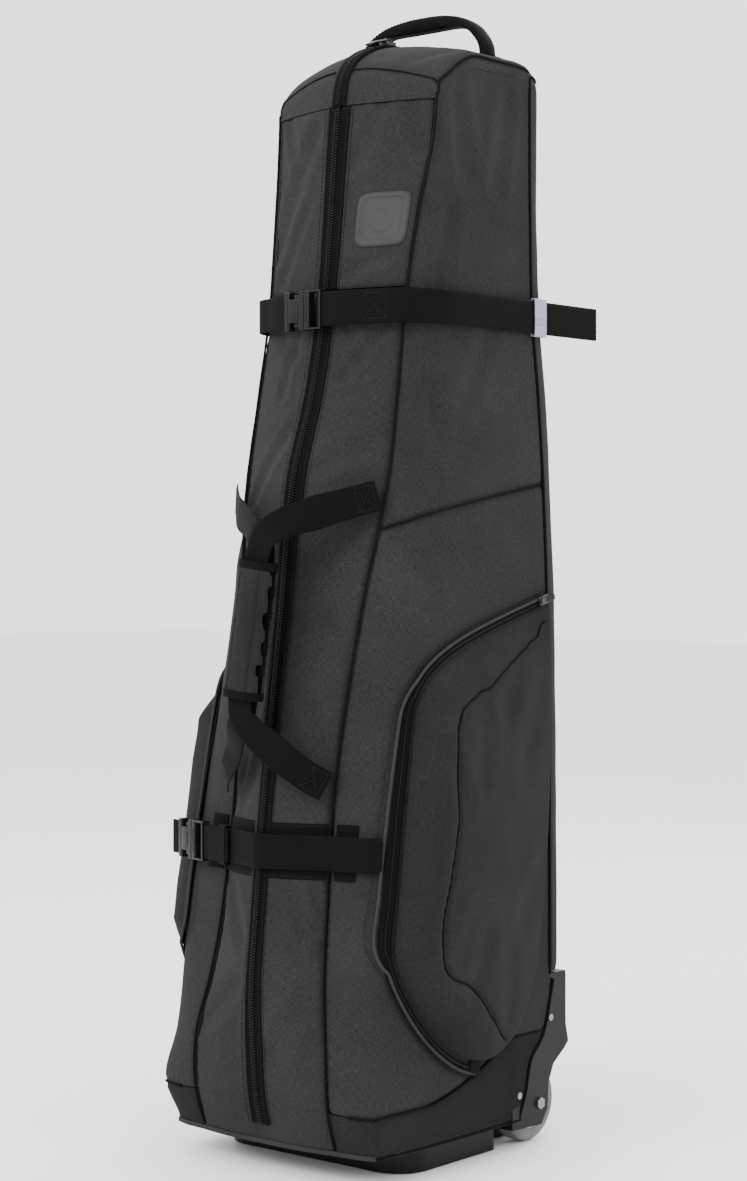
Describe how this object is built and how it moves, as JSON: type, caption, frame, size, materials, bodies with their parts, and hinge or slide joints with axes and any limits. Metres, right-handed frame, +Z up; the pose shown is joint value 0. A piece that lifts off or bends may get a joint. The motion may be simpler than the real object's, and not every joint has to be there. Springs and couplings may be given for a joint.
{
  "type": "golf travel case",
  "caption": "Tall soft wheeled travel case for a golf bag: padded body, zipped front, side pockets, cinch straps, handles and a moulded base.",
  "frame": {"origin": "on the floor under the middle of the case, on the flat underside of the base tray", "axes": "+Z up along the case, -Y towards the zipped front, +X to the right seen from the front"},
  "size_m": [0.3886, 0.48, 1.3016],
  "materials": {
    "fabric": "heathered charcoal polyester weave",
    "band_fabric": "darker hard-wearing weave",
    "lining": "smooth quilted lining over foam",
    "webbing": "ribbed black nylon webbing",
    "zip_tape": "black water-resistant zip tape",
    "piping": "fine fabric-covered piping",
    "grey_piping": "grey woven piping",
    "grip": "padded grip fabric with bound ends",
    "elastic": "pale elastic keeper",
    "buckle_plastic": "moulded acetal, satin",
    "tray_plastic": "glossy moulded base",
    "housing_plastic": "textured moulded plastic",
    "strip_plastic": "grey moulded scuff strip",
    "board": "honeycomb stiffener sheet",
    "badge_rubber": "soft moulded rubber, matte",
    "tyre": "grey polyurethane tyre",
    "hub": "moulded nylon",
    "steel": "zinc plated steel",
    "slider_metal": "black coated zinc alloy"
  },
  "bodies": {
    "case": {"base_tray": "tray_plastic", "base_board": "board", "base_band": "band_fabric", "back_panel": "fabric", "back_board": "board", "side_panel_left_lower": "fabric", "side_panel_right_lower": "fabric", "side_panel_left_upper": "fabric", "side_panel_right_upper": "fabric", "front_panel_left": "fabric", "front_panel_right": "fabric", "top_panel": "fabric", "top_padding": "lining", "front_piping_left": "piping", "front_piping_right": "piping", "main_zip_left": "zip_tape", "main_zip_right": "zip_tape", "top_zip": "zip_tape", "pocket_zip_left": "zip_tape", "pocket_zip_right": "zip_tape", "pocket_piping_left": "grey_piping", "pocket_piping_right": "grey_piping", "upper_strap_anchor": "webbing", "upper_buckle_socket": "buckle_plastic", "lower_strap_anchor": "webbing", "lower_buckle_socket": "buckle_plastic", "lower_strap_patches": "webbing", "carry_handle_left": "webbing", "carry_handle_right": "webbing", "carry_handle_wrap": "grip", "wheel_housing_left": "housing_plastic", "wheel_housing_right": "housing_plastic", "wheel_axles": "steel", "wheel_bolts": "steel", "kick_strips": "strip_plastic", "inner_straps": "webbing"},
    "flap_left": {"front_flap_left": "fabric", "flap_zip_left": "zip_tape"},
    "flap_right": {"front_flap_right": "fabric", "flap_zip_right": "zip_tape", "badge_patch": "badge_rubber"},
    "zip_slider": {"main_zip_slider": "slider_metal"},
    "zip_pull": {"main_zip_pull": "slider_metal"},
    "pocket_left": {"pocket_cover_left": "fabric"},
    "pocket_right": {"pocket_cover_right": "fabric"},
    "pocket_zip_slider_left": {"pocket_slider_left": "slider_metal"},
    "pocket_zip_slider_right": {"pocket_slider_right": "slider_metal"},
    "upper_strap": {"upper_strap_webbing": "webbing", "upper_strap_loop": "elastic", "upper_buckle_plug": "buckle_plastic"},
    "lower_strap": {"lower_strap_webbing": "webbing", "lower_strap_loop": "webbing", "lower_buckle_plug": "buckle_plastic"},
    "grip_flap": {"carry_wrap_flap": "grip"},
    "top_grab_handle": {"top_handle": "webbing"},
    "wheel_left": {"tyre_left": "tyre", "hub_left": "hub"},
    "wheel_right": {"tyre_right": "tyre", "hub_right": "hub"}
  },
  "joints": [
    {"name": "flap_left_open", "type": "hinge", "parent": "case", "child": "flap_left", "pos_m": [-0.10399, -0.01236, 1.0715], "axis": [0.0652, -0.1488, -0.9867], "range_deg": [0, 105]},
    {"name": "flap_right_open", "type": "hinge", "parent": "case", "child": "flap_right", "pos_m": [0.10399, -0.01236, 1.0715], "axis": [0.0652, 0.1488, 0.9867], "range_deg": [0, 105]},
    {"name": "main_zip_slide", "type": "hinge", "parent": "case", "child": "zip_slider", "pos_m": [0, 0.062, 1.169], "axis": [1, 0, 0], "range_deg": [0, 34]},
    {"name": "zip_pull_lift", "type": "hinge", "parent": "zip_slider", "child": "zip_pull", "pos_m": [0, 0.062, 1.265], "axis": [-1, 0, 0], "range_deg": [0, 120]},
    {"name": "pocket_left_open", "type": "hinge", "parent": "case", "child": "pocket_left", "pos_m": [-0.161, 0.168, 0.376], "axis": [0, 0, -1], "range_deg": [0, 60]},
    {"name": "pocket_right_open", "type": "hinge", "parent": "case", "child": "pocket_right", "pos_m": [0.161, 0.168, 0.376], "axis": [0, 0, 1], "range_deg": [0, 60]},
    {"name": "pocket_zip_left_slide", "type": "slide", "parent": "case", "child": "pocket_zip_slider_left", "axis": [0, -0.9617, -0.2742], "range_m": [0, 0.135]},
    {"name": "pocket_zip_right_slide", "type": "slide", "parent": "case", "child": "pocket_zip_slider_right", "axis": [0, -0.9617, -0.2742], "range_m": [0, 0.135]},
    {"name": "upper_buckle_release", "type": "slide", "parent": "case", "child": "upper_strap", "axis": [1, 0, 0], "range_m": [0, 0.022]},
    {"name": "lower_buckle_release", "type": "slide", "parent": "case", "child": "lower_strap", "axis": [0.9617, -0.274, 0], "range_m": [0, 0.022]},
    {"name": "grip_open", "type": "hinge", "parent": "case", "child": "grip_flap", "pos_m": [-0.01769, -0.17634, 0.59228], "axis": [-0.1217, -0.0489, -0.9914], "range_deg": [0, 120]},
    {"name": "top_handle_fold", "type": "hinge", "parent": "case", "child": "top_grab_handle", "pos_m": [0, 0.13, 1.2555], "axis": [1, 0, 0], "range_deg": [-20, 20], "stiffness_Nm_per_rad": 0.4},
    {"name": "wheel_left_spin", "type": "hinge", "parent": "case", "child": "wheel_left", "pos_m": [-0.131, 0.146, 0.045], "axis": [1, 0, 0], "continuous": true},
    {"name": "wheel_right_spin", "type": "hinge", "parent": "case", "child": "wheel_right", "pos_m": [0.131, 0.146, 0.045], "axis": [1, 0, 0], "continuous": true}
  ]
}
